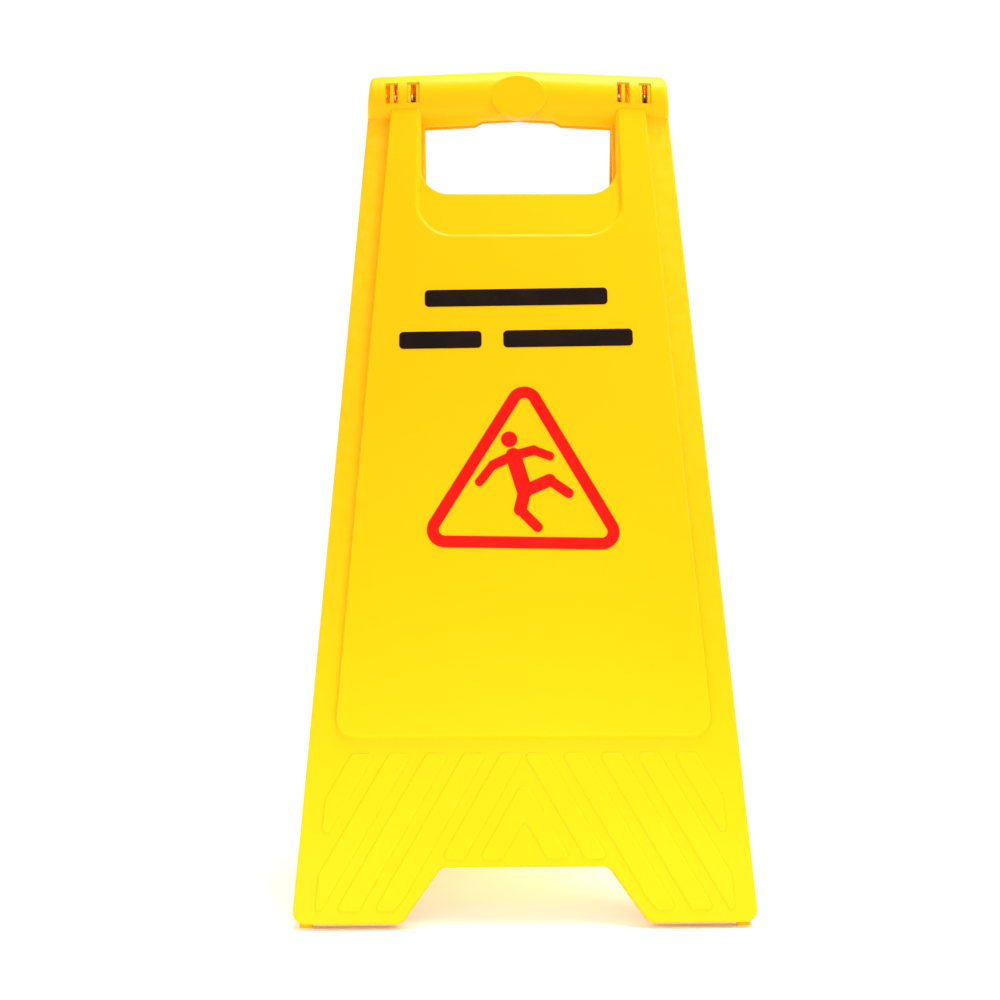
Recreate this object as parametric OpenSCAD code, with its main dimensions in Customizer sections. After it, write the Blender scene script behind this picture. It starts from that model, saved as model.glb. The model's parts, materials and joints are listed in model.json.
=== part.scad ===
// Folding A-frame floor sign. Two moulded panels, alike but for the front one's oval badge, snap
// together in a barrel hinge along the top edge. Each outer face carries ink prints. The model
// stands open on its four feet.
// A panel is drawn hanging from the hinge axis, which lies along X, with its outer face towards -Y.
// Depths are measured outwards from the parting plane, where the two folded panels meet.

/* [Stand] */
// Length of a panel from the hinge axis to its foot edge
leg = 581; // [560:1:600]
// Angle of each open panel from upright, in degrees
half_angle = 13; // [11:0.5:15]
// Half width of a panel at the hinge axis
top_half = 108; // [106:0.5:110]
// Half width of a panel at the foot edge
foot_half = 150.5; // [146:0.5:155]
// Wall thickness of the moulding
wall = 2.3; // [2:0.1:2.6]
// Gap from each panel to the parting plane
parting = 0.5; // [0.3:0.1:0.8]

/* [Face] */
// Depth of the edge strip at the hinge axis
strip_depth_top = 11; // [10:0.5:12]
// Depth of the edge strip at the foot edge
strip_depth_foot = 14.6; // [13.5:0.1:14.8]
// Depth of the raised centre plateau
plateau_depth = 16; // [15.5:0.1:16.5]
// Width of the edge strip beside the plateau
margin = 16.5; // [15:0.5:17.5]
// Height of the plateau's lower edge
plateau_low = -462; // [-466:1:-455]
// Corner radius of the plateau
plateau_r = 13; // [10:1:16]
// Height of the relief stripes over the strip
stripe_rise = 0.8; // [0.5:0.1:1.2]

/* [Hand opening] */
// Half width of the opening
hand_half = 70.4; // [68:0.2:71]
// Height of the opening's lower edge
hand_low = -75.4; // [-84:0.2:-74]
// Corner radius of the opening
hand_r = 20.5; // [15:0.5:23]
// Half width of the scooped recess round the opening, at its lower edge
scoop_half = 73; // [72.8:0.1:73.4]
// Half width of the scooped recess at the hood
scoop_top_half = 71.3; // [71:0.1:72]
// Width of the bead inside each side of the opening
bead_w = 2.3; // [1:0.1:3]
// Height of the scoop's lower edge
scoop_low = -108.5; // [-116:0.5:-104]

/* [Foot arch] */
// Height of the arch over the foot edge
arch_rise = 35.5; // [30:0.5:42]
// Half width of the arch at its top
arch_top_half = 54.5; // [48:0.5:58]
// Half width of the arch at the foot edge
arch_foot_half = 80; // [76:0.5:84]
// Width of a foot pad
pad_w = 8.5; // [6:0.5:10]
// Depth of a foot pad from the parting plane
pad_depth = 5.5; // [4:0.5:8]

/* [Hood and hinge] */
// Outer radius of the hood barrel
hood_r = 19.8; // [19.2:0.1:20.2]
// Rise of the hood's ridge at mid span
bow_rise = 5; // [3:0.2:6]
// Distance from the centre to the inner hinge stations
station_in = 76; // [75.6:0.1:77]
// Distance from the centre to the outer hinge stations
station_out = 91.6; // [90:0.2:93]
// Radius of a hinge pin
pin_r = 3.5; // [3:0.1:3.8]
// Radial clearance of a pin in its hook
pin_fit = 0.06; // [0.02:0.01:0.1]
// Half width of the finger relief under the grip
relief_half = 31.5; // [26:0.5:34]
// Height of the finger relief below the barrel's centre line
relief_level = -17; // [-18:0.1:-16.6]

/* [Print] */
// Thickness of the ink
ink = 0.25; // [0.2:0.05:0.3]
// Tilt of the word bars in degrees
bar_tilt = 0.8; // [-1:0.1:1]
// Tilt of the warning triangle in degrees
triangle_tilt = -1; // [-1.5:0.1:1]
// Half width of the triangle before its corners are rounded
triangle_half = 74.8; // [66:0.2:78]
// Height of the triangle before its corners are rounded
triangle_rise = 126.4; // [116:0.2:132]
// Width of the triangle's band
triangle_band = 8.2; // [6:0.2:10]

/* [Hidden] */
$fn = 96;

far = 400;                                   // reach of a cutting block
reach = 10;                                  // how far a helper block stands past what it cuts
foot_clear = 1;                              // foot edge over the ground, when open
axis_height = leg * cos(half_angle) + foot_clear - parting * sin(half_angle);
side_slope = (foot_half - top_half) / leg;
strip_slope = (strip_depth_foot - strip_depth_top) / leg;
foot_r = 8.5;
toe_r = 7;
arch_r = 6;
tray_top = -2;                               // the tray ends inside the barrel
hand_top = 0;
hand_wall_top = -10;
bead_top = -16;
bead_depth = 3;

bow_span = 106;                              // half span over which the hood drops by bow_rise
bow_slope = atan(bow_rise / bow_span);
core_shift = bow_at(hand_half) / 2;          // height of the straight core that ends the tray
hood_proud = 0.4;                            // how far the hood's ends stand past the panel's sides
lip_gap = 0.1;                               // from the lip to the plane where the two hoods meet
relief_run = 5.5;                            // length of the relief's sloping ends
relief_wall = 1.8;                           // wall between the relief and the barrel's inside
window_half = 4.5;
window_low = -8.3;
window_high = 7.6;
lug_r = 6;
hook_r = 6.2;
hook_w = 2.6;
hook_mouth = 5.6;
cheek_in = 1.95;
cheek_out = 4.45;
web_gap = 1;                                 // from a web to the plane where the two hoods meet
web_r = hood_r - 1.2;                        // edge of the hook webs and cheeks, inside the shell

badge_half = 20.5;                           // flat oval badge on the front panel's hood
badge_rise = 15.2;
badge_drop = -2.7;
badge_face = hood_r + 0.4;
badge_root = 8;
badge_step = 7.5;                            // degrees between the oval's points

scoop_edge_depth = plateau_depth - 1;        // scoop floor at its lower edge
scoop_rim_depth = plateau_depth - 3;         // scoop floor round the opening
scoop_r = 25;

stripe_count = 5;
stripe_top = -472.2;
stripe_low = -leg + 8;
stripe_x = -113.3;                           // left edge of the first stripe at the top
stripe_pitch = 24.6;
stripe_w = 15.2;
stripe_lean = 0.58;                          // sideways run per unit of drop
stripe_margin = 14.3;                        // from the panel's side to the ends of the stripes
stripe_seam = 1.4;                           // half of the groove between the two sets
chevron_top = -494.5;
arch_margin = 5;
arch_side_margin = 3;

rib_w = 1.6;
rib_depth = 5;                               // free edge of the ribs
rib_levels = [-124, -240, -352, -470];
rib_x = 52;

bar_h = 12.5;
bar_r = 3;
word_shift = -2.8;
caution_level = -155.2;
caution_half = 64.2;
floor_level = -185.9;
wet_span = [-81.8, -24.4];
floor_span = [-9.2, 81.3];
triangle_base = -335.3;
triangle_shift = 0.5;
triangle_r = 12.3;
head_r = 5.6;
trunk_r = 5.4;
limb_r = 3.5;
forearm_r = 3.1;
thigh_r = 4.4;
figure_foot = [-1.5, 15];                    // the figure's base line in the triangle

// Rise of the hood at a distance x from the centre, over its height at the ends
function bow_at(x) = bow_rise * (1 - abs(x) / bow_span);

// ---- outlines -------------------------------------------------------------------------------

function side(v) = [-v[1], v[0]];
function turned(v, a) = [v[0] * cos(a) - v[1] * sin(a), v[0] * sin(a) + v[1] * cos(a)];
function way(a, b) = (b - a) / norm(b - a);
function half_width(z) = top_half - z * side_slope;

// Corner b of a counter-clockwise outline, between a and c, moved inwards by d
function moved(a, b, c, d) =
    let (n = side(way(a, b)), m = side(way(b, c))) b + d * (n + m) / (1 + n * m);

// Corner b rounded to radius r, as points along its arc
function arc(a, b, c, r) =
    let (u = way(a, b), v = way(b, c), turn = atan2(u[0] * v[1] - u[1] * v[0], u * v),
         hand = sign(turn), start = b - u * r * tan(abs(turn) / 2),
         centre = start + side(u) * r * hand, steps = ceil(abs(turn) / 11))
    r <= 0 ? [b] : [for (i = [0 : steps]) centre + turned(start - centre, turn * i / steps)];

// Is corner b a left turn?
function convex(a, b, c) = side(way(a, b)) * (c - b) > 0;

// Outline of [x, z, radius] corners, counter-clockwise, moved inwards by inset and rounded
function rounded(corners, inset = 0) =
    let (n = len(corners), p = [for (k = corners) [k[0], k[1]]],
         q = [for (i = [0 : n - 1]) moved(p[(i + n - 1) % n], p[i], p[(i + 1) % n], inset)])
    [for (i = [0 : n - 1])
        let (a = q[(i + n - 1) % n], b = q[i], c = q[(i + 1) % n], r = corners[i][2],
             fit = r == 0 ? 0 : convex(a, b, c) ? max(r - inset, 0.8) : r + inset)
        each arc(a, b, c, fit)];

function with_mirror(right) =
    concat(right, [for (i = [len(right) - 1 : -1 : 0]) [-right[i][0], right[i][1], right[i][2]]]);

// Right half of the panel's outline, from the arch up to the top
function panel_corners(top) = with_mirror([
    [arch_top_half, -leg + arch_rise, arch_r],
    [arch_foot_half, -leg, toe_r],
    [foot_half, -leg, foot_r],
    [half_width(top), top, 0]]);

plateau_corners = with_mirror([
    [half_width(plateau_low) - margin, plateau_low, plateau_r],
    [half_width(tray_top) - margin, tray_top, 0]]);

hand_corners = with_mirror([[hand_half, hand_low, hand_r], [hand_half, hand_top, 0]]);
hand_wall_corners = with_mirror([
    [hand_half + wall, hand_low - wall, hand_r + wall], [hand_half + wall, hand_wall_top, 0]]);
scoop_corners = with_mirror([[scoop_half, scoop_low, scoop_r], [scoop_top_half, tray_top, 0]]);

// ---- building blocks ------------------------------------------------------------------------

// Outline in X and Z, extruded between two depths
module drawn(near, deep) {
    translate([0, -near, 0]) rotate([90, 0, 0]) linear_extrude(deep - near) children();
}

// Profile of [depth, z] points, extruded along X
module across(half, profile) {
    translate([-half, 0, 0]) rotate([90, 0, 90]) linear_extrude(2 * half)
        polygon([for (p = profile) [-p[0], p[1]]]);
}

// Everything between the parting plane and the edge strip's sloping surface, shifted by rise
module strip_block(rise) {
    foot = -leg - reach;
    across(far / 2, [[parting, 0], [strip_depth_top + rise, 0],
        [strip_depth_top - foot * strip_slope + rise, foot], [parting, foot]]);
}

// Everything over the scoop's floor, which is shifted by rise
module scoop_block(rise) {
    across(scoop_half + wall + 1, [[scoop_rim_depth + rise, 0], [scoop_rim_depth + rise, hand_low],
        [scoop_edge_depth + rise, scoop_low], [scoop_edge_depth + rise, scoop_low - reach],
        [plateau_depth + reach, scoop_low - reach], [plateau_depth + reach, 0]]);
}

// A profile extruded along X, with its own origin raised to z
module lengthwise(half, z) {
    translate([-half, 0, z]) rotate([90, 0, 90]) linear_extrude(2 * half) children();
}

// A shape on the barrel's centre line, which slopes down from the middle to both ends
module on_slopes() {
    for (hand = [0, 1]) mirror([hand, 0, 0]) intersection() {
        translate([0, 0, bow_rise]) rotate([0, bow_slope, 0]) children();
        translate([0, -far / 2, -far / 2]) cube(far);
    }
}

module barrel(r) {
    on_slopes() translate([-reach, 0, 0]) rotate([0, 90, 0]) cylinder(r = r, h = bow_span + 3 * reach);
}

// Space under the grip for fingers, with sloping ends, moved outwards by grow
module finger_relief(grow) {
    level = relief_level + grow;
    half = relief_half + grow;
    below = -2 * hood_r;
    on_slopes() drawn(-far / 4, far / 4) polygon([[-reach, below], [half, below], [half, -hood_r],
        [half - relief_run, level], [-reach, level]]);
}

// ---- moulded panel --------------------------------------------------------------------------

// One leaning stripe, and its neighbour on the other side of the centre line
module stripe_pair(x, top, seam) {
    drop = top + leg;
    start = x - (stripe_top - top) * stripe_lean;
    for (hand = [0, 1]) mirror([hand, 0]) intersection() {
        polygon([[start, top], [start - drop * stripe_lean, -leg],
            [start + stripe_w - drop * stripe_lean, -leg], [start + stripe_w, top]]);
        translate([-far, -leg]) square([far - seam, leg]);
    }
}

// Where the stripes may run: clear of the arch, the foot edge and the panel's sides
module stripe_field() {
    polygon([for (k = with_mirror([
        [arch_top_half + arch_side_margin, -leg + arch_rise + arch_margin],
        [arch_foot_half + arch_margin, stripe_low],
        [half_width(stripe_low) - stripe_margin, stripe_low],
        [half_width(stripe_top) - stripe_margin, stripe_top]])) [k[0], k[1]]]);
}

module stripes() {
    intersection() {
        drawn(parting, far / 4) intersection() {
            union() {
                for (i = [0 : stripe_count - 1])
                    stripe_pair(stripe_x + i * stripe_pitch, stripe_top, stripe_seam);
                stripe_pair(stripe_x + stripe_count * stripe_pitch, chevron_top, 0);
            }
            stripe_field();
        }
        strip_block(stripe_rise);
    }
}

module plateau(inset, rise) {
    difference() {
        drawn(parting, plateau_depth + rise) polygon(rounded(plateau_corners, inset));
        intersection() {
            drawn(parting, far / 4) polygon(rounded(scoop_corners, -inset));
            scoop_block(rise);
        }
    }
}

module ribs() {
    for (z = rib_levels)
        translate([-far / 2, -far / 2, z - rib_w / 2]) cube([far, far / 2 - rib_depth, rib_w]);
    for (x = [-rib_x, rib_x])
        translate([x - rib_w / 2, -far / 2, -leg])
            cube([rib_w, far / 2 - rib_depth, leg + rib_levels[0]]);
}

module tray_cavity() {
    difference() {
        union() {
            intersection() {
                drawn(-reach, far / 4) polygon(rounded(panel_corners(tray_top + wall), wall));
                strip_block(-wall);
            }
            plateau(wall, -wall);
        }
        drawn(-reach, far / 4) polygon(rounded(hand_wall_corners));
        ribs();
    }
}

module tray() {
    difference() {
        union() {
            intersection() {
                drawn(parting, far / 4) polygon(rounded(panel_corners(tray_top)));
                strip_block(0);
            }
            plateau(0, 0);
            stripes();
        }
        tray_cavity();
        drawn(-reach, far / 4) polygon(rounded(hand_corners));
        lengthwise(far / 2, core_shift) circle(hood_r - wall / 2);
    }
}

// A bead along the inner edge of each side of the hand opening
module hand_beads() {
    for (hand = [0, 1]) mirror([hand, 0, 0])
        translate([hand_half - bead_w, -parting - bead_depth, hand_low + hand_r])
            cube([bead_w + wall / 2, bead_depth, bead_top - hand_low - hand_r]);
}

// A wedge under each outer foot corner, which is flat on the ground when the panel is open
module foot_pads() {
    intersection() {
        for (hand = [0, 1]) mirror([hand, 0, 0])
            translate([foot_half - foot_r / 2 - pad_w, -pad_depth, -leg - reach])
                cube([pad_w, pad_depth - parting, reach + wall]);
        rotate([half_angle, 0, 0]) translate([-far, -far, -axis_height]) cube(2 * far);
    }
}

module badge(inset, near, deep) {
    translate([0, 0, bow_rise]) rotate([half_angle, 0, 0]) drawn(near, deep)
        translate([0, badge_drop])
            polygon([for (a = [0 : badge_step : 360 - badge_step])
                [(badge_half - inset) * cos(a), (badge_rise - inset) * sin(a)]]);
}

module hood_space(inset) {
    level = hood_r + reach;
    ends = with_mirror([[half_width(-level), -level, 0], [half_width(level), level, 0]]);
    drawn(-level, level) polygon(rounded(ends, inset - hood_proud));
}

// Half barrel with closed ends. The two lips meet over the axis when the panels are open.
module hood(badged) {
    difference() {
        union() {
            intersection() {
                barrel(hood_r);
                hood_space(0);
            }
            if (badged) badge(0, badge_root, badge_face);
        }
        difference() {
            intersection() {
                barrel(hood_r - wall);
                hood_space(wall);
            }
            finger_relief(relief_wall);
        }
        if (badged) badge(wall, 0, badge_face - wall);
        translate([-far, -parting, -far]) cube(2 * far);
        rotate([half_angle, 0, 0]) translate([-far, -lip_gap, -far]) cube(2 * far);
        finger_relief(0);
        for (x = [-station_out, -station_in, station_in, station_out])
            translate([x - window_half, -far / 2, window_low])
                cube([2 * window_half, far / 2, window_high - window_low]);
    }
}

// A flat plate between two stations along X, as deep as the inside of the half barrel
module hinge_web(from, to, nose_r) {
    difference() {
        intersection() {
            translate([from, 0, bow_at((from + to) / 2)]) rotate([0, 90, 0])
                cylinder(r = web_r, h = to - from);
            translate([from, -far / 2, -far / 2]) cube([to - from, far / 2 - parting, far]);
        }
        rotate([half_angle, 0, 0]) translate([-far, -web_gap, -far]) cube(2 * far);
    }
    translate([from, 0, 0]) rotate([0, 90, 0]) cylinder(r = nose_r, h = to - from);
}

// Open hook that snaps over the other panel's pin
module hook(x) {
    difference() {
        hinge_web(x - hook_w / 2, x + hook_w / 2, hook_r);
        translate([x - hook_w, 0, 0]) rotate([0, 90, 0])
            cylinder(r = pin_r + pin_fit, h = 2 * hook_w);
        translate([x - hook_w, 0, -hook_mouth / 2]) cube([2 * hook_w, hook_r + 2, hook_mouth]);
    }
}

// Pin held between two cheeks
module pin_station(x) {
    hinge_web(x - cheek_out, x - cheek_in, lug_r);
    hinge_web(x + cheek_in, x + cheek_out, lug_r);
    translate([x - cheek_out, 0, 0]) rotate([0, 90, 0]) cylinder(r = pin_r, h = 2 * cheek_out);
}

module panel(badged) {
    tray();
    hand_beads();
    foot_pads();
    hood(badged);
    hook(-station_out);
    pin_station(-station_in);
    hook(station_in);
    pin_station(station_out);
}

// ---- prints ---------------------------------------------------------------------------------

module printed() {
    drawn(plateau_depth, plateau_depth + ink) children();
}

// A plain bar with rounded corners, in place of a word
module word_bar(left, right) {
    polygon(rounded([[left, -bar_h / 2, bar_r], [right, -bar_h / 2, bar_r],
        [right, bar_h / 2, bar_r], [left, bar_h / 2, bar_r]]));
}

module caution_bar() {
    printed() translate([word_shift, caution_level]) rotate(bar_tilt) word_bar(-caution_half, caution_half);
}

module wet_floor_bars() {
    printed() translate([word_shift, floor_level]) rotate(bar_tilt) {
        word_bar(wet_span[0], wet_span[1]);
        word_bar(floor_span[0], floor_span[1]);
    }
}

module triangle(inset) {
    polygon(rounded([[-triangle_half, 0, triangle_r], [triangle_half, 0, triangle_r],
        [0, triangle_rise, triangle_r]], inset));
}

module warning_triangle() {
    printed() translate([triangle_shift, triangle_base]) rotate(triangle_tilt) difference() {
        triangle(0);
        triangle(triangle_band);
    }
}

// A limb with round ends
module limb(a, b, r) {
    u = way(a, b) * r;
    round = [for (t = [-90 : 15 : 90]) t];
    polygon(concat([for (t = round) b + turned(u, t)], [for (t = round) a - turned(u, t)]));
}

// A plain figure falling backwards, on a base line at its standing foot
module figure() {
    neck = [-5, 50];
    hip = [3, 25];
    right_elbow = [9, 54];
    left_elbow = [-19, 43];
    right_knee = [20, 33];
    left_knee = [0, 12];
    translate([-8, 61.5]) circle(head_r);
    limb(neck, hip, trunk_r);
    limb(neck, right_elbow, limb_r);
    limb(right_elbow, [20, 50], forearm_r);
    limb(neck, left_elbow, limb_r);
    limb(left_elbow, [-28, 31], forearm_r);
    limb(hip, right_knee, thigh_r);
    limb(right_knee, [33, 24], limb_r);
    limb(hip, left_knee, thigh_r);
    limb(left_knee, [12, 0], limb_r);
}

module slipping_figure() {
    printed() translate([0, triangle_base] + figure_foot) rotate(triangle_tilt) figure();
}

// ---- assembly -------------------------------------------------------------------------------

module front() {
    translate([0, 0, axis_height]) rotate([-half_angle, 0, 0]) children();
}

module rear() {
    rotate([0, 0, 180]) front() children();
}

module front_panel() { color("gold") front() panel(true); }
module rear_panel() { color("gold") rear() panel(false); }
module front_caution_bar() { color("black") front() caution_bar(); }
module front_wet_floor_bars() { color("black") front() wet_floor_bars(); }
module front_warning_triangle() { color("red") front() warning_triangle(); }
module front_slipping_figure() { color("red") front() slipping_figure(); }
module rear_caution_bar() { color("black") rear() caution_bar(); }
module rear_wet_floor_bars() { color("black") rear() wet_floor_bars(); }
module rear_warning_triangle() { color("red") rear() warning_triangle(); }
module rear_slipping_figure() { color("red") rear() slipping_figure(); }

front_panel();
rear_panel();
front_caution_bar();
front_wet_floor_bars();
front_warning_triangle();
front_slipping_figure();
rear_caution_bar();
rear_wet_floor_bars();
rear_warning_triangle();
rear_slipping_figure();
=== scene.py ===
"""Looks of the folding floor sign.

Two moulded panels, alike but for the front one's oval badge, are rebuilt as thin rounded shells around
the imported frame. The ink prints are the frame's own nodes with better materials. Lengths are in
millimetres in the panel's own frame (x, depth, z): the panel hangs down from the hinge axis, and depth
is measured outwards from the parting plane. placed() turns them into metres in the shared frame.
"""
import json
import math

import bmesh
import bpy
import numpy as np
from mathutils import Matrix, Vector
from mathutils.geometry import delaunay_2d_cdt


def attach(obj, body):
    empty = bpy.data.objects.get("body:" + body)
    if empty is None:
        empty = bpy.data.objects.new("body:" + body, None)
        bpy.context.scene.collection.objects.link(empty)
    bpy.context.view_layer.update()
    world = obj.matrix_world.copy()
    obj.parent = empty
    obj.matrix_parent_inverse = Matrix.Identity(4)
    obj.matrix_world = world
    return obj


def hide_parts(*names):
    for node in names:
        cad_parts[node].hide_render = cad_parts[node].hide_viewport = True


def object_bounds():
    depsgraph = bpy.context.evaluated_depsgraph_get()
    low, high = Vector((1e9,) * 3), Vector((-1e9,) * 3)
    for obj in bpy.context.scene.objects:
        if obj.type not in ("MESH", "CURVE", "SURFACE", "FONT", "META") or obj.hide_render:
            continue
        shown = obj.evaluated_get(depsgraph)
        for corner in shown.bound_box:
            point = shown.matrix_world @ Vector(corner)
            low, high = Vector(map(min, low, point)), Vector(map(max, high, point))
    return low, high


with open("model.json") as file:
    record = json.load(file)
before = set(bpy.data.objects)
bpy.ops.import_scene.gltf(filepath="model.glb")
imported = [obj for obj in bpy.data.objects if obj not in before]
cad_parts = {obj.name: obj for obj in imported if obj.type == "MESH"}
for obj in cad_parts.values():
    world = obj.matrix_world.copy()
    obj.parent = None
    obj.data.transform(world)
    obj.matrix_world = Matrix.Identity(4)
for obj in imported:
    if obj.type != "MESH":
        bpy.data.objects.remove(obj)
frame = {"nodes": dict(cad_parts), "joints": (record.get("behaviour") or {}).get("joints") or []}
cad_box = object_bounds()

# ---- driving dimensions, in millimetres and degrees -----------------------------------------------

MM = 0.001
HINGE = frame["joints"][0]
AXIS_HEIGHT = HINGE["pos_m"][2] / MM
LEAN = math.radians(HINGE["range_deg"][1] / 2)      # each panel's lean from upright, when open
LEG = 581
TOP_HALF = 108
FOOT_HALF = 150.5
WALL = 2.3
PARTING = 0.5
SIDE_SLOPE = (FOOT_HALF - TOP_HALF) / LEG

STRIP_TOP = 11                                      # depth of the edge strip at the axis
STRIP_FOOT = 14.6                                   # and at the foot edge
PLATEAU = 16                                        # depth of the raised centre
MARGIN = 16.5                                       # width of the edge strip beside the plateau
PLATEAU_LOW = -462
PLATEAU_R = 13
PLATEAU_END = 40                                    # its outline runs on this far above the axis
STEP_W = 1.8                                        # width over which the plateau steps up
TRAY_TOP = -6.5                                     # the tray ends inside the hood's wall
SHOULDER = 1.3                                      # radius of the outer edge
INNER_SHOULDER = 0.6
INNER_CHAMFER = 0.2                                 # small bevel round the inner face
WEAR_RUN = 1.4                                      # how far wear reaches onto the face beside an edge
LIP = 0.45                                          # radius of the free edge

HAND_HALF = 70.4
HAND_LOW = -75.4
HAND_R = 20.5
SCOOP_HALF = 73                                     # half width of the scoop at its lower edge
SCOOP_TOP_HALF = 71.3                               # and at the hood
BEAD_W = 2.3                                        # bead inside each side of the opening
BEAD_DEPTH = 3
BEAD_TOP = -16
BEAD_TURN = 60                                      # degrees of the corner over which it fades out
BEAD_STEPS = 12
SCOOP_LOW = -108.5
SCOOP_R = 25
SCOOP_EDGE = PLATEAU - 1                            # scoop floor at its lower edge
SCOOP_RIM = PLATEAU - 3                             # and round the opening
SCOOP_W = 3

ARCH_RISE = 35.5
ARCH_TOP_HALF = 54.5
ARCH_FOOT_HALF = 80
ARCH_TOP_R = 6
ARCH_FOOT_R = 7

STRIPE_RISE = 0.8
STRIPE_W = 1.0
STRIPE_R = 2.6
STRIPE_TOP = -472.2
STRIPE_LOW = -LEG + 8
STRIPE_X = -113.3
STRIPE_PITCH = 24.6
STRIPE_WIDE = 15.2
STRIPE_LEAN = 0.58
STRIPE_MARGIN = 14.3
STRIPE_SEAM = 1.4
STRIPE_COUNT = 5
CHEVRON_TOP = -494.5
ARCH_MARGIN = 5

HOOD_R = 19.8
HOOD_CORE = HOOD_R - WALL / 2
BOW_RISE = 5
BOW_SPAN = 106
HOOD_END_R = 3
HOOD_PROUD = 0.4                                    # how far its ends stand past the panel's sides
HOOD_STRAIGHT = 101                                 # the barrel keeps its full radius this far out
LIP_GAP = 0.1
RELIEF_HALF = 31.5                                  # finger relief: half width with its sloping ends
RELIEF_RUN = 5.5                                    # length of a sloping end
RELIEF_LEVEL = -17                                  # height of its flat land from the barrel's middle
STATION_IN = 76
STATION_OUT = 91.6
WINDOW_HALF = 4.5
WINDOW_LOW = -8.3
WINDOW_HIGH = 7.6
GLOW_REACH = 7                                      # how far past the windows the inside is lit

BADGE_HALF = 20.5
BADGE_RISE = 15.2
BADGE_DROP = -2.7
BADGE_FACE = HOOD_R + 0.4
BADGE_EDGE = 1.2

PIN_R = 3.5
PIN_FIT = 0.06
WEB_R = HOOD_R - 1.2
WEB_GAP = 1
LUG_R = 6
HOOK_R = 6.2
HOOK_W = 2.6
HOOK_MOUTH = 5.6
CHEEK_IN = 1.95
CHEEK_OUT = 4.45

RIB_W = 1.6
RIB_EDGE = 5                                        # depth of the ribs' free edge
RIB_LEVELS = (-124, -240, -352, -470)
RIB_X = 52
PAD_W = 8.5
PAD_DEPTH = 5.5
FOOT_R = 8.5

ARC_STEP = 7                                        # degrees between the points of an arc
HOOD_STEP_ROUND = 5                                 # the same round the hood
HOOD_STEP_ALONG = 3
BADGE_STEPS = 72


# ---- outlines, as lists of (x, z) ------------------------------------------------------------------

def left(v):
    return np.array([-v[1], v[0]])


def way(a, b):
    return (b - a) / np.linalg.norm(b - a)


def rot(v, turn):
    c, s = math.cos(turn), math.sin(turn)
    return np.array([v[0] * c - v[1] * s, v[0] * s + v[1] * c])


def half_width(z):
    return TOP_HALF - z * SIDE_SLOPE


def bow_at(x):
    return BOW_RISE * (1 - np.abs(x) / BOW_SPAN)


def arc(a, b, c, r):
    """Corner b rounded to radius r, as points along its arc."""
    u, v = way(a, b), way(b, c)
    turn = math.atan2(u[0] * v[1] - u[1] * v[0], u @ v)
    if r <= 0 or abs(turn) < 1e-3:
        return [b]
    start = b - u * r * math.tan(abs(turn) / 2)
    centre = start + left(u) * r * math.copysign(1, turn)
    steps = math.ceil(math.degrees(abs(turn)) / ARC_STEP)
    return [centre + rot(start - centre, turn * i / steps) for i in range(steps + 1)]


def rounded(corners, inset=0.0):
    """Outline of (x, z, radius) corners, counter-clockwise, moved inwards by inset and rounded."""
    n = len(corners)
    p = [np.array(k[:2], float) for k in corners]
    q = []
    for i in range(n):
        s, t = left(way(p[i - 1], p[i])), left(way(p[i], p[(i + 1) % n]))
        q.append(p[i] + inset * (s + t) / (1 + s @ t))
    out = []
    for i in range(n):
        a, b, c, r = q[i - 1], q[i], q[(i + 1) % n], corners[i][2]
        if r > 0:
            r = max(r - inset, 0.6) if left(way(a, b)) @ (c - b) > 0 else r + inset
        out += arc(a, b, c, r)
    return np.array(out)


def with_mirror(right):
    return right + [(-x, z, r) for x, z, r in reversed(right)]


def outline_corners():
    """The panel with its foot arch, and the hand opening as a notch from the top."""
    return with_mirror([
        (ARCH_TOP_HALF, -LEG + ARCH_RISE, ARCH_TOP_R),
        (ARCH_FOOT_HALF, -LEG, ARCH_FOOT_R),
        (FOOT_HALF, -LEG, FOOT_R),
        (half_width(TRAY_TOP), TRAY_TOP, 0),
        (HAND_HALF, TRAY_TOP, 0),
        (HAND_HALF, HAND_LOW, HAND_R)])


def plateau_corners():
    return with_mirror([
        (half_width(PLATEAU_LOW) - MARGIN, PLATEAU_LOW, PLATEAU_R),
        (half_width(PLATEAU_END) - MARGIN, PLATEAU_END, 0)])


def scoop_corners():
    return with_mirror([(SCOOP_HALF, SCOOP_LOW, SCOOP_R), (SCOOP_TOP_HALF, 0, 0)])


def clipped(subject, clip):
    """The part of one outline inside another, convex and counter-clockwise, outline."""
    out = [np.array(p, float) for p in subject]
    for i in range(len(clip)):
        a, b = np.array(clip[i - 1], float), np.array(clip[i], float)
        n = left(way(a, b))
        kept = []
        for j in range(len(out)):
            p, q = out[j - 1], out[j]
            dp, dq = n @ (p - a), n @ (q - a)
            if (dp >= 0) != (dq >= 0):
                kept.append(p + (q - p) * dp / (dp - dq))
            if dq >= 0:
                kept.append(q)
        out = kept
    return out


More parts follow.
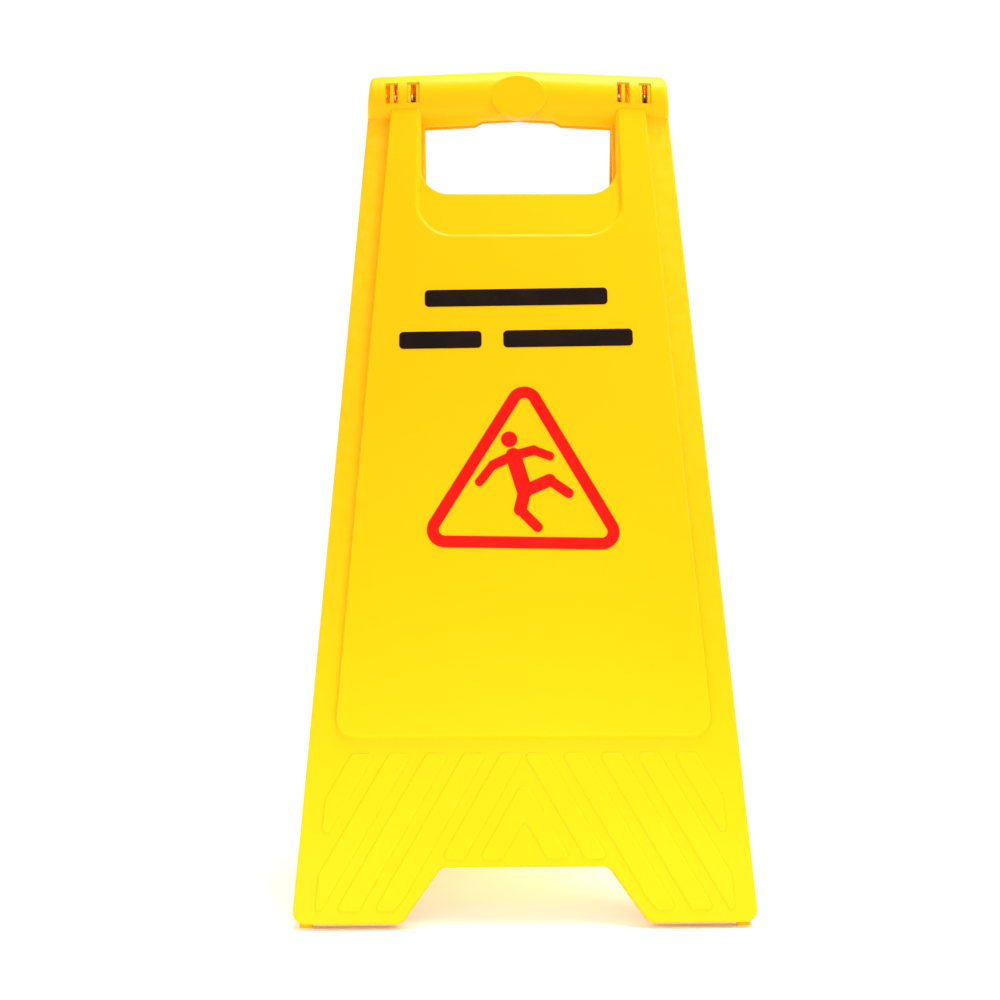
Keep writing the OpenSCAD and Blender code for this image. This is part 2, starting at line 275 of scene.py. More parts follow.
def stripe_corners():
    """Every relief stripe, as corners with radii."""
    half = [(ARCH_TOP_HALF + ARCH_MARGIN - 2, -LEG + ARCH_RISE + ARCH_MARGIN),
            (ARCH_FOOT_HALF + ARCH_MARGIN, STRIPE_LOW),
            (half_width(STRIPE_LOW) - STRIPE_MARGIN, STRIPE_LOW),
            (half_width(STRIPE_TOP) - STRIPE_MARGIN, STRIPE_TOP)]
    field = half + [(-x, z) for x, z in reversed(half)]
    drop = STRIPE_TOP + LEG
    stripes = []
    for i in range(STRIPE_COUNT):
        x = STRIPE_X + i * STRIPE_PITCH
        low = x - drop * STRIPE_LEAN
        band = [(low, -LEG), (low + STRIPE_WIDE, -LEG), (x + STRIPE_WIDE, STRIPE_TOP), (x, STRIPE_TOP)]
        band = clipped(band, [(-2 * FOOT_HALF, -LEG), (-STRIPE_SEAM, -LEG), (-STRIPE_SEAM, 0),
                              (-2 * FOOT_HALF, 0)])
        shape = simple(clipped(field, band))
        stripes.append([(x, z, STRIPE_R) for x, z in shape])
        stripes.append([(-x, z, STRIPE_R) for x, z in reversed(shape)])
    foot = -LEG + ARCH_RISE + ARCH_MARGIN
    top_x = -(STRIPE_X + STRIPE_COUNT * STRIPE_PITCH - (STRIPE_TOP - CHEVRON_TOP) * STRIPE_LEAN)
    run = (CHEVRON_TOP - foot) * STRIPE_LEAN
    inner = top_x + run - STRIPE_WIDE
    chevron = [(inner, foot), (top_x + run, foot), (top_x, CHEVRON_TOP), (-top_x, CHEVRON_TOP),
               (-top_x - run, foot), (-inner, foot), (0, foot + inner / STRIPE_LEAN)]
    stripes.append([(x, z, STRIPE_R) for x, z in chevron])
    return stripes


def simple(points, least=1.5):
    """An outline without corners that lie on a straight line or close together."""
    kept = []
    for p in points:
        if not kept or np.linalg.norm(p - kept[-1]) > least:
            kept.append(p)
    if np.linalg.norm(kept[0] - kept[-1]) <= least:
        kept.pop()
    n = len(kept)
    return [kept[i] for i in range(n)
            if abs(left(way(kept[i - 1], kept[i])) @ way(kept[i], kept[(i + 1) % n])) > 0.02]


# ---- the face, as a height over (x, z) -------------------------------------------------------------

def inside(points, loop):
    x, z = points[:, 0, None], points[:, 1, None]
    a, b = loop, np.roll(loop, -1, axis=0)
    over = (a[:, 1] > z) != (b[:, 1] > z)
    with np.errstate(divide="ignore", invalid="ignore"):
        cross = a[:, 0] + (z - a[:, 1]) * (b[:, 0] - a[:, 0]) / (b[:, 1] - a[:, 1])
    return ((over & (x < cross)).sum(axis=1) % 2) == 1


def reach(points, loop):
    """Distance from each point to a closed line, positive inside it."""
    a, b = loop, np.roll(loop, -1, axis=0)
    ab = b - a
    ap = points[:, None, :] - a
    t = np.clip((ap * ab).sum(-1) / np.maximum((ab * ab).sum(-1), 1e-12), 0, 1)
    d = np.linalg.norm(ap - t[..., None] * ab, axis=-1).min(axis=1)
    return np.where(inside(points, loop), d, -d)


def ease(d, width):
    t = np.clip(d / width + 0.5, 0, 1)
    return t * t * (3 - 2 * t)


def strip_depth(z):
    return STRIP_TOP - z * (STRIP_FOOT - STRIP_TOP) / LEG


def face_depth(points, cut):
    """Depth of the outer skin, or of the inner one with cut as the wall's thickness."""
    z = points[:, 1]
    depth = strip_depth(z)
    depth = depth + (PLATEAU - depth) * ease(reach(points, rounded(plateau_corners(), cut)), STEP_W)
    floor = SCOOP_RIM + (SCOOP_EDGE - SCOOP_RIM) * np.clip((HAND_LOW - z) / (HAND_LOW - SCOOP_LOW), 0, 1)
    depth = depth + (floor - depth) * ease(reach(points, rounded(scoop_corners(), -cut)), SCOOP_W)
    if cut == 0:
        for corners in stripe_corners():
            depth = depth + STRIPE_RISE * ease(reach(points, rounded(corners)), STRIPE_W)
    return depth - cut


def rings(corners, width, base, count, land=0):
    """Outlines across a sloping step, and one more, land away from it, that bounds its edge's wear."""
    loops = [rounded(corners, base + width * (i / (count - 1) - 0.5)) for i in range(count)]
    if land:
        loops.append(rounded(corners, base + math.copysign(width / 2, land) + land))
    return loops


# ---- meshes ----------------------------------------------------------------------------------------

class Shape:
    """Points (x, depth, z) and faces, gathered before they become one mesh."""

    def __init__(self):
        self.points = []
        self.faces = []

    def add(self, points, faces):
        start = len(self.points)
        self.points += [tuple(map(float, p)) for p in points]
        self.faces += [tuple(start + i for i in f) for f in faces]


def triangulated(loops, keep, lines=()):
    """Triangles over closed loops and open lines whose middle passes keep. Returns points and faces."""
    points, edges = [], []
    for loop in loops:
        start, n = len(points), len(loop)
        points += [Vector(p) for p in loop]
        edges += [(start + i, start + (i + 1) % n) for i in range(n)]
    for a, b in lines:
        edges.append((len(points), len(points) + 1))
        points += [Vector(a), Vector(b)]
    out, _, faces, *_ = delaunay_2d_cdt(points, edges, [], 0, 1e-4)
    out = np.array([tuple(p) for p in out])
    faces = np.array([tuple(f) for f in faces])
    faces = faces[keep(out[faces].mean(axis=1))]
    return out, faces


def border(faces):
    """The closed line of vertices round a patch of triangles."""
    follows = {}
    seen = {(f[i], f[(i + 1) % 3]) for f in faces for i in range(3)}
    for a, b in seen:
        if (b, a) not in seen:
            follows[a] = b
    start = min(follows)
    loop, at = [start], follows[start]
    while at != start:
        loop.append(at)
        at = follows[at]
    return loop


def offset_normals(loop):
    """At each point of a counter-clockwise loop, the way out, long enough to keep a mitre."""
    n = len(loop)
    out = []
    for i in range(n):
        s, t = -left(way(loop[i - 1], loop[i])), -left(way(loop[i], loop[(i + 1) % n]))
        out.append((s + t) / (1 + s @ t))
    return np.array(out)


def skirt(shape, loop, depth, profile):
    """Walls down from the face's border. profile is (way out, depth from the face or, below, fixed)."""
    normals = offset_normals(loop)
    rows = []
    for out, drop, fixed in profile:
        p = loop + normals * out
        d = np.full(len(loop), float(fixed)) if fixed is not None else depth - drop
        rows.append(np.column_stack([p[:, 0], d, p[:, 1]]))
    n = len(loop)
    faces = [(r * n + i, r * n + (i + 1) % n, (r + 1) * n + (i + 1) % n, (r + 1) * n + i)
             for r in range(len(rows) - 1) for i in range(n)]
    shape.add(np.vstack(rows), faces)
    return rows[-1][:, [0, 2]]


def skin(shape, cut):
    """One side of the tray: its face and the walls round it. Returns the free edge."""
    roll = SHOULDER if cut == 0 else INNER_SHOULDER
    edge = rounded(outline_corners(), cut + (roll if cut == 0 else INNER_CHAMFER))
    loops = [edge, rounded(outline_corners(), cut + roll + WEAR_RUN)]
    loops += rings(plateau_corners(), STEP_W, cut, 8, WEAR_RUN)
    loops += rings(scoop_corners(), SCOOP_W, -cut, 7, -WEAR_RUN)
    if cut == 0:
        for corners in stripe_corners():
            loops += rings(corners, STRIPE_W, 0, 6, WEAR_RUN / 2)
    lines = [((-SCOOP_HALF, HAND_LOW), (SCOOP_HALF, HAND_LOW))]
    flat, faces = triangulated(loops, lambda middle: inside(middle, edge), lines)
    depth = face_depth(flat, cut)
    shape.add(np.column_stack([flat[:, 0], depth, flat[:, 1]]), faces)
    around = border(faces)
    turns = [math.radians(a) for a in range(0, 91, 15)]
    if cut == 0:
        profile = [(roll * math.sin(t), roll * (1 - math.cos(t)), None) for t in turns]
        profile += [(roll - LIP * (1 - math.cos(t)), None, PARTING + LIP * (1 - math.sin(t)))
                    for t in turns]
    else:
        c = INNER_CHAMFER
        profile = [(0, 0, None), (c, c, None), (c, None, PARTING + LIP)]
        profile += [(c + LIP * (1 - math.cos(t)), None, PARTING + LIP * (1 - math.sin(t)))
                    for t in turns[1:]]
    return skirt(shape, flat[around], depth[around], profile)


def follow_hood(points):
    """Brings what would stand inside the hood down to the middle of its wall."""
    p = np.array(points)
    core = np.sqrt(np.maximum(HOOD_CORE ** 2 - p[:, 1] ** 2, 0))
    level = np.minimum(p[:, 2], bow_at(p[:, 0]) - core)
    shift = np.where(np.abs(p[:, 0]) > SCOOP_HALF + WALL, np.sign(p[:, 0]) * SIDE_SLOPE, 0)
    p[:, 0] += shift * (p[:, 2] - level)
    p[:, 2] = level
    return p


def tray():
    shape = Shape()
    outer = skin(shape, 0)
    inner = skin(shape, WALL)
    flat, faces = triangulated([outer, inner], lambda m: inside(m, outer) & ~inside(m, inner))
    shape.add(np.column_stack([flat[:, 0], np.full(len(flat), PARTING), flat[:, 1]]), faces)
    shape.points = [tuple(p) for p in follow_hood(shape.points)]
    return shape


def mesh_of(shape, name):
    mesh = bpy.data.meshes.new(name)
    mesh.from_pydata(shape.points, [], shape.faces)
    bm = bmesh.new()
    bm.from_mesh(mesh)
    bmesh.ops.remove_doubles(bm, verts=bm.verts, dist=2e-3)
    bmesh.ops.dissolve_degenerate(bm, edges=bm.edges, dist=1e-4)
    bmesh.ops.recalc_face_normals(bm, faces=bm.faces)
    bm.to_mesh(mesh)
    bm.free()
    return mesh


def object_of(mesh):
    piece = bpy.data.objects.new(mesh.name, mesh)
    bpy.context.scene.collection.objects.link(piece)
    return piece


def settled(piece):
    """The piece with its modifiers applied."""
    seen = piece.evaluated_get(bpy.context.evaluated_depsgraph_get())
    mesh = bpy.data.meshes.new_from_object(seen)
    piece.modifiers.clear()
    piece.data = mesh
    return piece


def bevelled(piece, width, segments=2, angle=35):
    m = piece.modifiers.new("Bevel", "BEVEL")
    m.width = width
    m.segments = segments
    m.limit_method = "ANGLE"
    m.angle_limit = math.radians(angle)
    return settled(piece)


def slab(shape, one_end, other_end):
    """A solid between two like outlines, each a list of (x, depth, z)."""
    n = len(one_end)
    shape.add(one_end + other_end,
              [tuple(range(n)), tuple(range(2 * n - 1, n - 1, -1))]
              + [(i, n + i, n + (i + 1) % n, (i + 1) % n) for i in range(n)])


def prism(shape, profile, x0, x1):
    """A plate between two places along X. profile is (depth, z), and may not cross itself."""
    slab(shape, *[[(x, d, z) for d, z in profile] for x in (x0, x1)])


def arc_points(r, a0, a1, z=0.0, step=6):
    n = max(2, math.ceil(abs(a1 - a0) / step))
    return [(r * math.cos(math.radians(a0 + (a1 - a0) * i / n)),
             z + r * math.sin(math.radians(a0 + (a1 - a0) * i / n))) for i in range(n + 1)]


def lip_angle(r, gap, z=0.0):
    """Where a circle of radius r meets the plane between the two panels, over the axis."""
    return math.degrees(math.acos((gap + z * math.sin(LEAN)) / r) - LEAN)


def relief_floor(x):
    """How far the grip's underside may reach down, from the barrel's middle, at a distance x."""
    down_the_end = max(abs(x) - RELIEF_HALF + RELIEF_RUN, 0) / RELIEF_RUN
    return max(-HOOD_R, RELIEF_LEVEL - down_the_end * (HOOD_R + RELIEF_LEVEL))


def steps(stops, size):
    """Places from the first stop to the last, through every stop, at most size apart."""
    out = []
    for a, b in zip(stops, stops[1:]):
        n = math.ceil((b - a) / size)
        out += [a + (b - a) * i / n for i in range(n)]
    return out + [stops[-1]]


def hood_grid():
    """The half barrel's outer skin with its closed ends, its windows and its finger relief."""
    low = -math.degrees(math.acos(PARTING / HOOD_R))
    high = lip_angle(HOOD_R, LIP_GAP)
    marks = [math.degrees(math.asin(z / HOOD_R)) for z in (RELIEF_LEVEL, WINDOW_LOW, WINDOW_HIGH)]
    angles = steps([low, *marks, high], HOOD_STEP_ROUND)
    edges = {s * (m + h) for s in (-1, 1) for m in (STATION_IN, STATION_OUT)
             for h in (-WINDOW_HALF, WINDOW_HALF)}
    edges |= {0} | {s * x for s in (-1, 1)
                    for x in (RELIEF_HALF - RELIEF_RUN, RELIEF_HALF, HOOD_STRAIGHT)}
    along = steps(sorted(edges), HOOD_STEP_ALONG)
    # A column is (x, None), or (side, (distance inside the end plane, radius)) on the closed ends
    turns = [math.radians(t) for t in range(0, 91, 15)]
    end = [(HOOD_END_R * (1 - math.sin(t)), HOOD_R - HOOD_END_R * (1 - math.cos(t))) for t in turns]
    end += [(0, HOOD_R * k) for k in (0.62, 0.4, 0.2, 0.02)]
    columns = [(-1, c) for c in reversed(end)] + [(x, None) for x in along] + [(1, c) for c in end]
    points, index = [], {}
    for i, (x, c) in enumerate(columns):
        for j, a in enumerate(angles):
            r = HOOD_R if c is None else c[1]
            d, z = max(r * math.cos(math.radians(a)), PARTING), r * math.sin(math.radians(a))
            index[i, j] = len(points)
            if c is None:
                points.append((x, d, max(z, relief_floor(x)) + bow_at(x)))
            else:
                points.append((x * (half_width(z) + HOOD_PROUD - c[0]), d, z + bow_at(TOP_HALF)))
    faces = []
    for i in range(len(columns) - 1):
        x = (columns[i][0] + columns[i + 1][0]) / 2
        on_barrel = columns[i][1] is None and columns[i + 1][1] is None
        windowed = on_barrel and any(abs(abs(x) - s) < WINDOW_HALF for s in (STATION_IN, STATION_OUT))
        for j in range(len(angles) - 1):
            if not (windowed and marks[1] < (angles[j] + angles[j + 1]) / 2 < marks[2]):
                faces.append((index[i, j], index[i + 1, j], index[i + 1, j + 1], index[i, j + 1]))
    shape = Shape()
    shape.add(points, faces)
    return shape


def hood():
    piece = object_of(mesh_of(hood_grid(), "hood"))
    m = piece.modifiers.new("Wall", "SOLIDIFY")
    m.thickness = WALL
    m.offset = -1
    m.use_even_offset = True
    m.use_quality_normals = True
    middle = np.array([f.normal[1] for f in piece.data.polygons]).mean()
    if middle < 0:
        piece.data.flip_normals()
    settled(piece)
    return bevelled(piece, 0.35, 3)


def badge():
    """The flat oval pad on the front of the hood, facing forward when the sign stands open."""
    shape = Shape()
    around = BADGE_STEPS
    rows = [(BADGE_HALF * k / 6, BADGE_RISE * k / 6, BADGE_FACE) for k in range(1, 6)]
    for t in range(0, 91, 15):
        s, c = math.sin(math.radians(t)), math.cos(math.radians(t))
        rows.append((BADGE_HALF - BADGE_EDGE * (1 - s), BADGE_RISE - BADGE_EDGE * (1 - s),
                     BADGE_FACE - BADGE_EDGE * (1 - c)))
    rows += [(BADGE_HALF * k / 6, BADGE_RISE * k / 6, None) for k in range(6, 0, -1)]
    points = [(0, BADGE_FACE, BADGE_DROP)]
    for a, b, d in rows:
        for i in range(around):
            t = 2 * math.pi * i / around
            x, z = a * math.cos(t), BADGE_DROP + b * math.sin(t)
            back = math.sqrt(HOOD_CORE ** 2 - z * z)
            points.append((x, back if d is None else max(d, back + 0.2), z))
    last = len(points)
    points.append((0, math.sqrt(HOOD_CORE ** 2 - BADGE_DROP ** 2), BADGE_DROP))
    faces = [(0, 1 + i, 1 + (i + 1) % around) for i in range(around)]
    for r in range(len(rows) - 1):
        s = 1 + r * around
        faces += [(s + i, s + (i + 1) % around, s + around + (i + 1) % around, s + around + i)
                  for i in range(around)]
    s = 1 + (len(rows) - 1) * around
    faces += [(last, s + (i + 1) % around, s + i) for i in range(around)]
    # The pad is upright when the panel leans, so it turns by the lean about the hinge axis
    c, s = math.cos(LEAN), math.sin(LEAN)
    shape.add([(x, d * c + z * s, BOW_RISE - d * s + z * c) for x, d, z in points], faces)
    return object_of(mesh_of(shape, "badge"))


def web_profile(station, nose, mouth):
    """Outline of a hook (with a mouth) or a cheek, as (depth, z)."""
    rise = bow_at(station)
    low = -math.degrees(math.acos(PARTING / WEB_R))
    profile = arc_points(WEB_R, low, lip_angle(WEB_R, WEB_GAP, rise), rise)
    start, end = lip_angle(nose, WEB_GAP), 360 - math.degrees(math.acos(PARTING / nose))
    if not mouth:
        return profile + arc_points(nose, start, end)
    hole = PIN_R + PIN_FIT
    outer = math.degrees(math.asin(HOOK_MOUTH / 2 / nose))
    inner = math.degrees(math.asin(HOOK_MOUTH / 2 / hole))
    return (profile + arc_points(nose, start, 180 - outer) + arc_points(hole, 180 - inner, inner - 180)
            + arc_points(nose, 180 + outer, end))


def hinge_parts():
    """Two hooks and two pins between cheeks, which snap into the other panel's."""
    shape = Shape()
    for x in (-STATION_OUT, STATION_IN):
        prism(shape, web_profile(x, HOOK_R, True), x - HOOK_W / 2, x + HOOK_W / 2)
    for x in (-STATION_IN, STATION_OUT):
        for a, b in ((-CHEEK_OUT, -CHEEK_IN), (CHEEK_IN, CHEEK_OUT)):
            prism(shape, web_profile(x, LUG_R, False), x + a, x + b)
    plates = bevelled(object_of(mesh_of(shape, "hinge")), 0.3)
    shape = Shape()
    for x in (-STATION_IN, STATION_OUT):
        prism(shape, arc_points(PIN_R, 0, 352.5, step=7.5), x - CHEEK_OUT + 0.4, x + CHEEK_OUT - 0.4)
    return [plates, object_of(mesh_of(shape, "pins"))]


def ribs():
    """Stiffening ribs on the inside, from within the face down to their free edge."""
    shape = Shape()
    sunk = WALL / 2
    for z in RIB_LEVELS:
        side, strip, wide = half_width(z) - sunk, strip_depth(z) - sunk, half_width(z) - MARGIN - STEP_W
        top = PLATEAU - sunk
        profile = [(-side, RIB_EDGE), (side, RIB_EDGE), (side, strip)]
        if z > PLATEAU_LOW:
            profile += [(wide, strip), (wide - STEP_W, top), (-wide + STEP_W, top), (-wide, strip)]
        profile += [(-side, strip)]
        slab(shape, *[[(x, d, z + s * RIB_W / 2) for x, d in profile] for s in (-1, 1)])
    foot = -LEG + ARCH_RISE + sunk
    low = PLATEAU_LOW + STEP_W + WALL
    for x in (-RIB_X, RIB_X):
        prism(shape, [(RIB_EDGE, foot), (RIB_EDGE, RIB_LEVELS[0]), (PLATEAU - sunk, RIB_LEVELS[0]),
                      (PLATEAU - sunk, low), (strip_depth(low) - sunk, low - STEP_W - WALL),
                      (strip_depth(foot) - sunk, foot)], x - RIB_W / 2, x + RIB_W / 2)
    return bevelled(object_of(mesh_of(shape, "ribs")), 0.3)


def hand_beads():
    """A bead along the inner edge of each side of the hand opening, which fades out in its corners."""
    turn_x, turn_z = HAND_HALF - HAND_R, HAND_LOW + HAND_R
    inner, outer = [], []
    for i in range(BEAD_STEPS + 1):
        share = i / BEAD_STEPS
        t = math.radians(BEAD_TURN) * i / BEAD_STEPS
        for line, r in ((inner, HAND_R - BEAD_W * (1 - share)), (outer, HAND_R + WALL / 2)):
            line.append((turn_x + r * math.cos(t), turn_z - r * math.sin(t)))
    loop = [(HAND_HALF + WALL / 2, BEAD_TOP), (HAND_HALF - BEAD_W, BEAD_TOP), *inner, *reversed(outer)]
    shape = Shape()
    for hand in (-1, 1):
        slab(shape, *[[(hand * x, d, z) for x, z in loop] for d in (PARTING, PARTING + BEAD_DEPTH)])
    return bevelled(object_of(mesh_of(shape, "beads")), 0.5, 3)


def foot_pads():
    """A wedge under each outer foot corner, flat on the floor when the panel leans."""
    shape = Shape()
    profile = [(PARTING, WALL - LEG), (PARTING, ground_level(PARTING)),
               (PAD_DEPTH, ground_level(PAD_DEPTH)), (PAD_DEPTH, WALL - LEG)]
    for hand in (-1, 1):
        outer = hand * (FOOT_HALF - FOOT_R / 2)
        prism(shape, profile, outer - hand * PAD_W, outer)
    return bevelled(object_of(mesh_of(shape, "pads")), 0.4)


def ground_level(depth):
    return (-AXIS_HEIGHT - depth * math.sin(LEAN)) / math.cos(LEAN)


def placed(piece, hand):
    """Turns a piece from the panel's frame into the shared one, for the front or the rear panel."""
    n = len(piece.data.vertices)
    p = np.zeros(n * 3)
    piece.data.vertices.foreach_get("co", p)
    x, d, z = p.reshape(-1, 3).T
    y = -d * math.cos(LEAN) + z * math.sin(LEAN)
    up = AXIS_HEIGHT + d * math.sin(LEAN) + z * math.cos(LEAN)
    out = np.column_stack([hand * x, hand * y, up]) * MM
    piece.data.vertices.foreach_set("co", out.ravel())
    piece.data.flip_normals()
    return piece


def joined(pieces, name):
    bpy.ops.object.select_all(action="DESELECT")
    for p in pieces:
        p.select_set(True)
    bpy.context.view_layer.objects.active = pieces[0]
    bpy.ops.object.join()
    pieces[0].name = pieces[0].data.name = name
    return pieces[0]


def mark_edges(mesh):
    """Writes how sharply the surface turns outwards at each point, for wear along the edges."""
    bm = bmesh.new()
    bm.from_mesh(mesh)
    layer = bm.verts.layers.float.new("edge_wear")
    for v in bm.verts:
        turn = sum(max(e.calc_face_angle_signed(0), 0) for e in v.link_edges if len(e.link_faces) == 2)
        v[layer] = min(max((turn - 0.3) / 1.2, 0), 1)
    bm.to_mesh(mesh)
    bm.free()


def smooth(piece):
    for f in piece.data.polygons:
        f.use_smooth = True
    m = piece.modifiers.new("Normals", "WEIGHTED_NORMAL")
    m.mode = "FACE_AREA_WITH_ANGLE"
    m.weight = 60
    m.keep_sharp = True
    return piece


# ---- materials -------------------------------------------------------------------------------------

YELLOW = (0.93, 0.455, 0.0018, 1)
DEEP_YELLOW = (0.93, 0.445, 0.0015, 1)
PALE_YELLOW = (0.98, 0.66, 0.05, 1)


class Nodes:
    """Small helper that adds shader nodes and links them."""

    def __init__(self, name):
        self.material = bpy.data.materials.new(name)
        self.material.use_nodes = True
        self.tree = self.material.node_tree
        self.shader = self.tree.nodes["Principled BSDF"]

    def add(self, kind, inputs=(), **settings):
        node = self.tree.nodes.new(kind)
        for k, v in settings.items():
            setattr(node, k, v)
        for k, v in dict(inputs).items():
            self.set(node.inputs[k], v)
        return node

    def set(self, socket, value):
        if isinstance(value, bpy.types.NodeSocket):
            self.tree.links.new(value, socket)
        else:
            socket.default_value = value

    def where(self, stretch=(1, 1, 1)):
        at = self.add("ShaderNodeTexCoord").outputs["Object"]
        return self.add("ShaderNodeMapping", {"Vector": at, "Scale": stretch}).outputs["Vector"]

    def noise(self, scale, detail=3, stretch=(1, 1, 1), rough=0.5):
        return self.add("ShaderNodeTexNoise", {"Vector": self.where(stretch), "Scale": scale,
                        "Detail": detail, "Roughness": rough}).outputs["Fac"]

    def ramp(self, value, low, high, a=0.0, b=1.0):
        return self.add("ShaderNodeMapRange", {"Value": value, "From Min": low, "From Max": high,
                        "To Min": a, "To Max": b}, interpolation_type="SMOOTHSTEP").outputs["Result"]

    def mix(self, share, a, b):
        node = self.add("ShaderNodeMix", data_type="RGBA")
        self.set(node.inputs["Factor"], share)
        self.set(node.inputs["A"], a)
        self.set(node.inputs["B"], b)
        return node.outputs["Result"]

    def math(self, operation, a, b):
        return self.add("ShaderNodeMath", {0: a, 1: b}, operation=operation).outputs["Value"]

    def bump(self, height, distance, normal=None, strength=1.0):
        inputs = {"Height": height, "Distance": distance, "Strength": strength}
        if normal is not None:
            inputs["Normal"] = normal
        return self.add("ShaderNodeBump", inputs).outputs["Normal"]


def yellow_plastic():
    """Satin moulded polypropylene: fine grain, faint flow marks, handling scuffs, paler worn edges."""
    m = Nodes("yellow_plastic")
    flow = m.noise(26, 4, (1, 1, 0.35))
    grain = m.noise(2600, 2)
    scuffs = m.ramp(m.noise(340, 5, (1, 1, 0.16), 0.7), 0.60, 0.74)
    patches = m.ramp(m.noise(14, 3), 0.48, 0.66)
    scuffed = m.math("MULTIPLY", scuffs, patches)
    worn = m.add("ShaderNodeAttribute", attribute_name="edge_wear",
                 attribute_type="GEOMETRY").outputs["Fac"]
    worn = m.math("MULTIPLY", worn, m.ramp(m.noise(120, 4), 0.38, 0.62, 0.25, 1.0))
    colour = m.mix(m.ramp(m.noise(7, 2), 0.3, 0.7), DEEP_YELLOW, YELLOW)
    colour = m.mix(m.math("MULTIPLY", worn, 0.15), colour, PALE_YELLOW)
    colour = m.mix(m.math("MULTIPLY", scuffed, 0.02), colour, PALE_YELLOW)
    m.set(m.shader.inputs["Base Color"], colour)
    rough = m.math("ADD", m.ramp(flow, 0.3, 0.7, 0.33, 0.39), m.math("MULTIPLY", scuffed, 0.1))
    m.set(m.shader.inputs["Roughness"], m.math("ADD", rough, m.math("MULTIPLY", worn, 0.1)))
    normal = m.bump(m.noise(9, 1), 0.0001)
    normal = m.bump(grain, 0.00002, normal)
    normal = m.bump(scuffs, 0.000004, normal)
    m.set(m.shader.inputs["Normal"], normal)
    m.set(m.shader.inputs["Specular IOR Level"], 0.07)
    return m.material


def ink(name, colour):
    """Screen-printed ink: a slightly uneven satin film with pinholes and a few rubbed places."""
    m = Nodes(name)
    film = m.noise(60, 4)
    pinholes = m.ramp(m.noise(1500, 3), 0.72, 0.80)
    streaks = m.ramp(m.noise(420, 5, (1, 1, 0.25)), 0.60, 0.72)
    rubbed = m.math("MULTIPLY", streaks, m.ramp(m.noise(22, 2), 0.5, 0.68))
    tone = m.mix(m.ramp(film, 0.3, 0.7), colour, [c * 1.25 for c in colour[:3]] + [1])
    tone = m.mix(m.math("MULTIPLY", rubbed, 0.01), tone, YELLOW)
    m.set(m.shader.inputs["Base Color"], m.mix(m.math("MULTIPLY", pinholes, 0.04), tone, YELLOW))
    rough = m.math("ADD", m.ramp(film, 0.3, 0.7, 0.34, 0.46), m.math("MULTIPLY", rubbed, 0.2))
    m.set(m.shader.inputs["Roughness"], rough)
    m.set(m.shader.inputs["Normal"], m.bump(m.noise(900, 3), 0.00003))
    m.set(m.shader.inputs["Specular IOR Level"], 0.1)
    return m.material


def floor_paper():
    m = Nodes("studio_floor")
    tone = m.mix(m.ramp(m.noise(3, 2), 0.3, 0.7), (0.92, 0.92, 0.92, 1), (0.94, 0.94, 0.94, 1))
    m.set(m.shader.inputs["Base Color"], tone)
    m.set(m.shader.inputs["Roughness"], m.ramp(m.noise(40, 3), 0.3, 0.7, 0.75, 0.9))
    return m.material


# ---- the object ------------------------------------------------------------------------------------

def build_panels():
    plastic = yellow_plastic()
    for body, hand in (("front", 1), ("rear", -1)):
        pieces = [object_of(mesh_of(tray(), "tray")), hood(), *hinge_parts(), ribs(), hand_beads(),
                  foot_pads()]
        if body == "front":
            pieces.append(badge())
        panel = joined([placed(p, hand) for p in pieces], f"{body}_panel_moulding")
        mark_edges(panel.data)
        smooth(panel)
        panel.data.materials.clear()
        panel.data.materials.append(plastic)
        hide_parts(f"{body}_panel")
        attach(panel, body)


def dress_prints():
    black = ink("black_ink", (0.008, 0.003, 0.001, 1))
    red = ink("red_ink", (0.62, 0.005, 0.002, 1))
    for name, node in frame["nodes"].items():
        if name.endswith("bar") or name.endswith("bars"):
            node.data.materials[0] = black
        elif name.endswith("triangle") or name.endswith("figure"):
            node.data.materials[0] = red


# ---- studio ----------------------------------------------------------------------------------------

def studio():
    bpy.ops.mesh.primitive_circle_add(vertices=96, radius=40, fill_type="NGON")
    floor = bpy.context.object
    floor.name = "studio_floor"
    floor.data.materials.append(floor_paper())
    bpy.context.scene.world = soft_sky(1.05, 0.4)


def soft_sky(low, high):
    """An even white surround, brightest at the horizon and dimmer overhead."""
    world = bpy.data.worlds.new("studio")
    world.use_nodes = True
    tree = world.node_tree
    way_up = tree.nodes.new("ShaderNodeSeparateXYZ")
    tree.links.new(tree.nodes.new("ShaderNodeTexCoord").outputs["Generated"], way_up.inputs[0])
    level = tree.nodes.new("ShaderNodeMapRange")
    tree.links.new(way_up.outputs["Z"], level.inputs["Value"])
    for name, value in (("From Min", 0.3), ("From Max", 0.7), ("To Min", low), ("To Max", high)):
        level.inputs[name].default_value = value
    sky = tree.nodes["Background"]
    sky.inputs["Color"].default_value = (1, 1, 1, 1)
    tree.links.new(level.outputs["Result"], sky.inputs["Strength"])
    return world


def lamp(name, place, aim, size, power, colour=(1, 1, 1)):
    data = bpy.data.lights.new(name, "AREA")
    data.color = colour
    data.shape = "DISK"
    data.size = size
    data.energy = power
    light = bpy.data.objects.new(name, data)
    light.location = place
    light.rotation_euler = (Vector(aim) - Vector(place)).to_track_quat("-Z", "Y").to_euler()
    light.visible_camera = False
    bpy.context.scene.collection.objects.link(light)


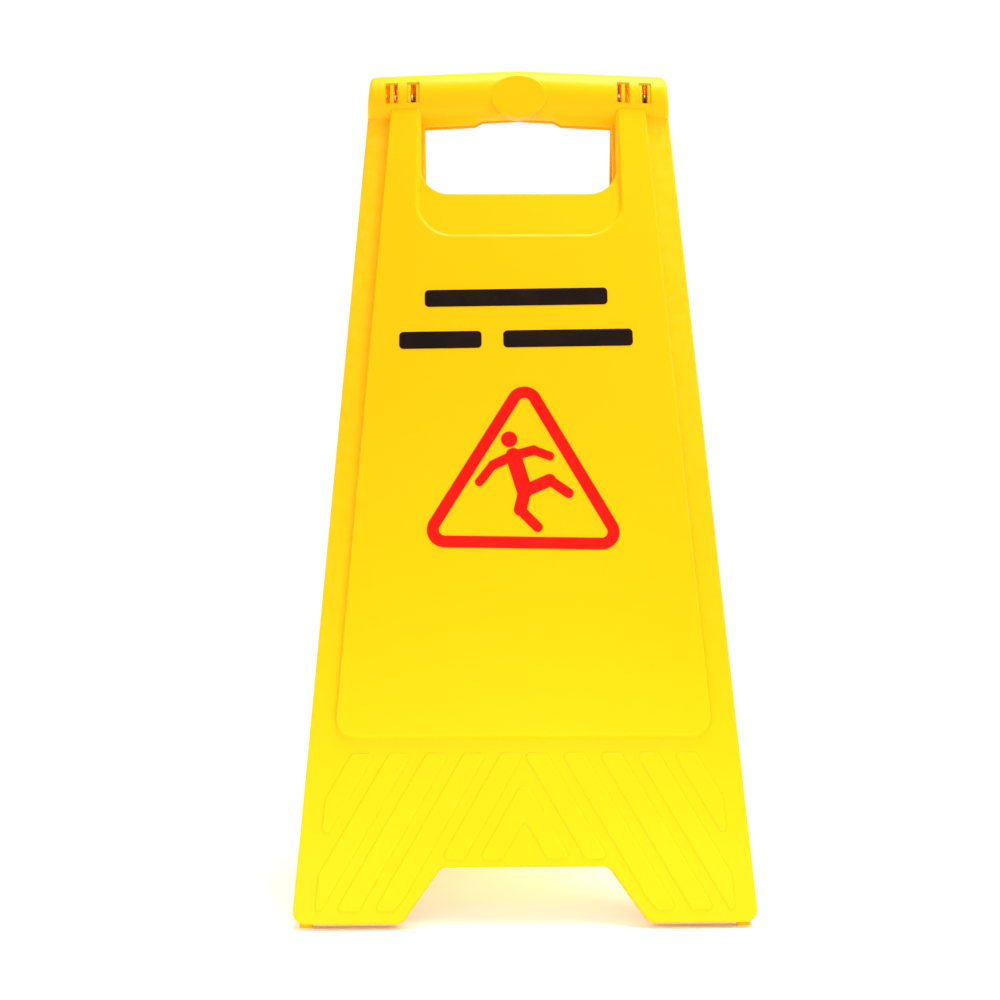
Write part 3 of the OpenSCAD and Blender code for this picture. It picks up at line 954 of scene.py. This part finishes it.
def sun(name, way_down, spread, strength):
    """Parallel light, spread by so many degrees."""
    data = bpy.data.lights.new(name, "SUN")
    data.angle = math.radians(spread)
    data.energy = strength
    light = bpy.data.objects.new(name, data)
    light.rotation_euler = Vector(way_down).to_track_quat("-Z", "Y").to_euler()
    bpy.context.scene.collection.objects.link(light)


def lights():
    """Soft light from above and both sides, with small lamps near the places that are brightest."""
    lo, hi = cad_box
    sun("overhead", (-0.12, 0.05, -1), 25, 1.75)
    lamp("hood", (0.1, 0, hi.z + 0.45), (0, 0, hi.z), 0.4, 3.3)
    lamp("front_right", (0.5, lo.y - 0.25, 0.75), (0.1, -0.05, 0.45), 0.25, 1.7)
    lamp("foot", (-0.01, lo.y - 0.2, 0.02), (-0.01, lo.y, 0.02), 0.45, 0.75)
    for x in (lo.x, hi.x):
        lamp("foot_corner", (x, lo.y - 0.12, 0.04), (x * 0.9, lo.y, 0.02), 0.1, 0.04)
    lamp("left_side", (-0.9, 0.1, 0.25), (0, 0, 0), 0.5, 4)
    lamp("right_side", (0.9, 0.1, 0.25), (0, 0, 0), 0.5, 2)
    lamp("between_the_panels", (0, 0, 0.08), (0, 0, 0), 0.16, 0.045, (0.35, 1, 0.1))
    for x in (STATION_IN - GLOW_REACH, (STATION_IN + STATION_OUT) / 2, STATION_OUT + GLOW_REACH):
        for hand in (-1, 1):
            inner_glow("hinge_glow", Vector((hand * x, 0, AXIS_HEIGHT)) * MM, 0.0055)


def inner_glow(name, place, power):
    """Stands for the daylight that comes through the thin barrel into its inside."""
    data = bpy.data.lights.new(name, "POINT")
    data.shadow_soft_size = 0.002
    data.energy = power
    light = bpy.data.objects.new(name, data)
    light.location = place
    light.visible_glossy = False
    bpy.context.scene.collection.objects.link(light)


def camera():
    """Almost level and about knee high, as the sign was seen."""
    data = bpy.data.cameras.new("camera")
    data.sensor_width = 36
    data.lens = 57.74
    view = bpy.data.objects.new("camera", data)
    view.location = (-0.0272, -1.1769, 0.2728)
    view.rotation_euler = (math.radians(90.21), math.radians(0.18), math.radians(-0.64))
    bpy.context.scene.collection.objects.link(view)
    bpy.context.scene.camera = view
    bpy.context.scene.view_settings.view_transform = "Standard"


build_panels()
dress_prints()
studio()
lights()
camera()
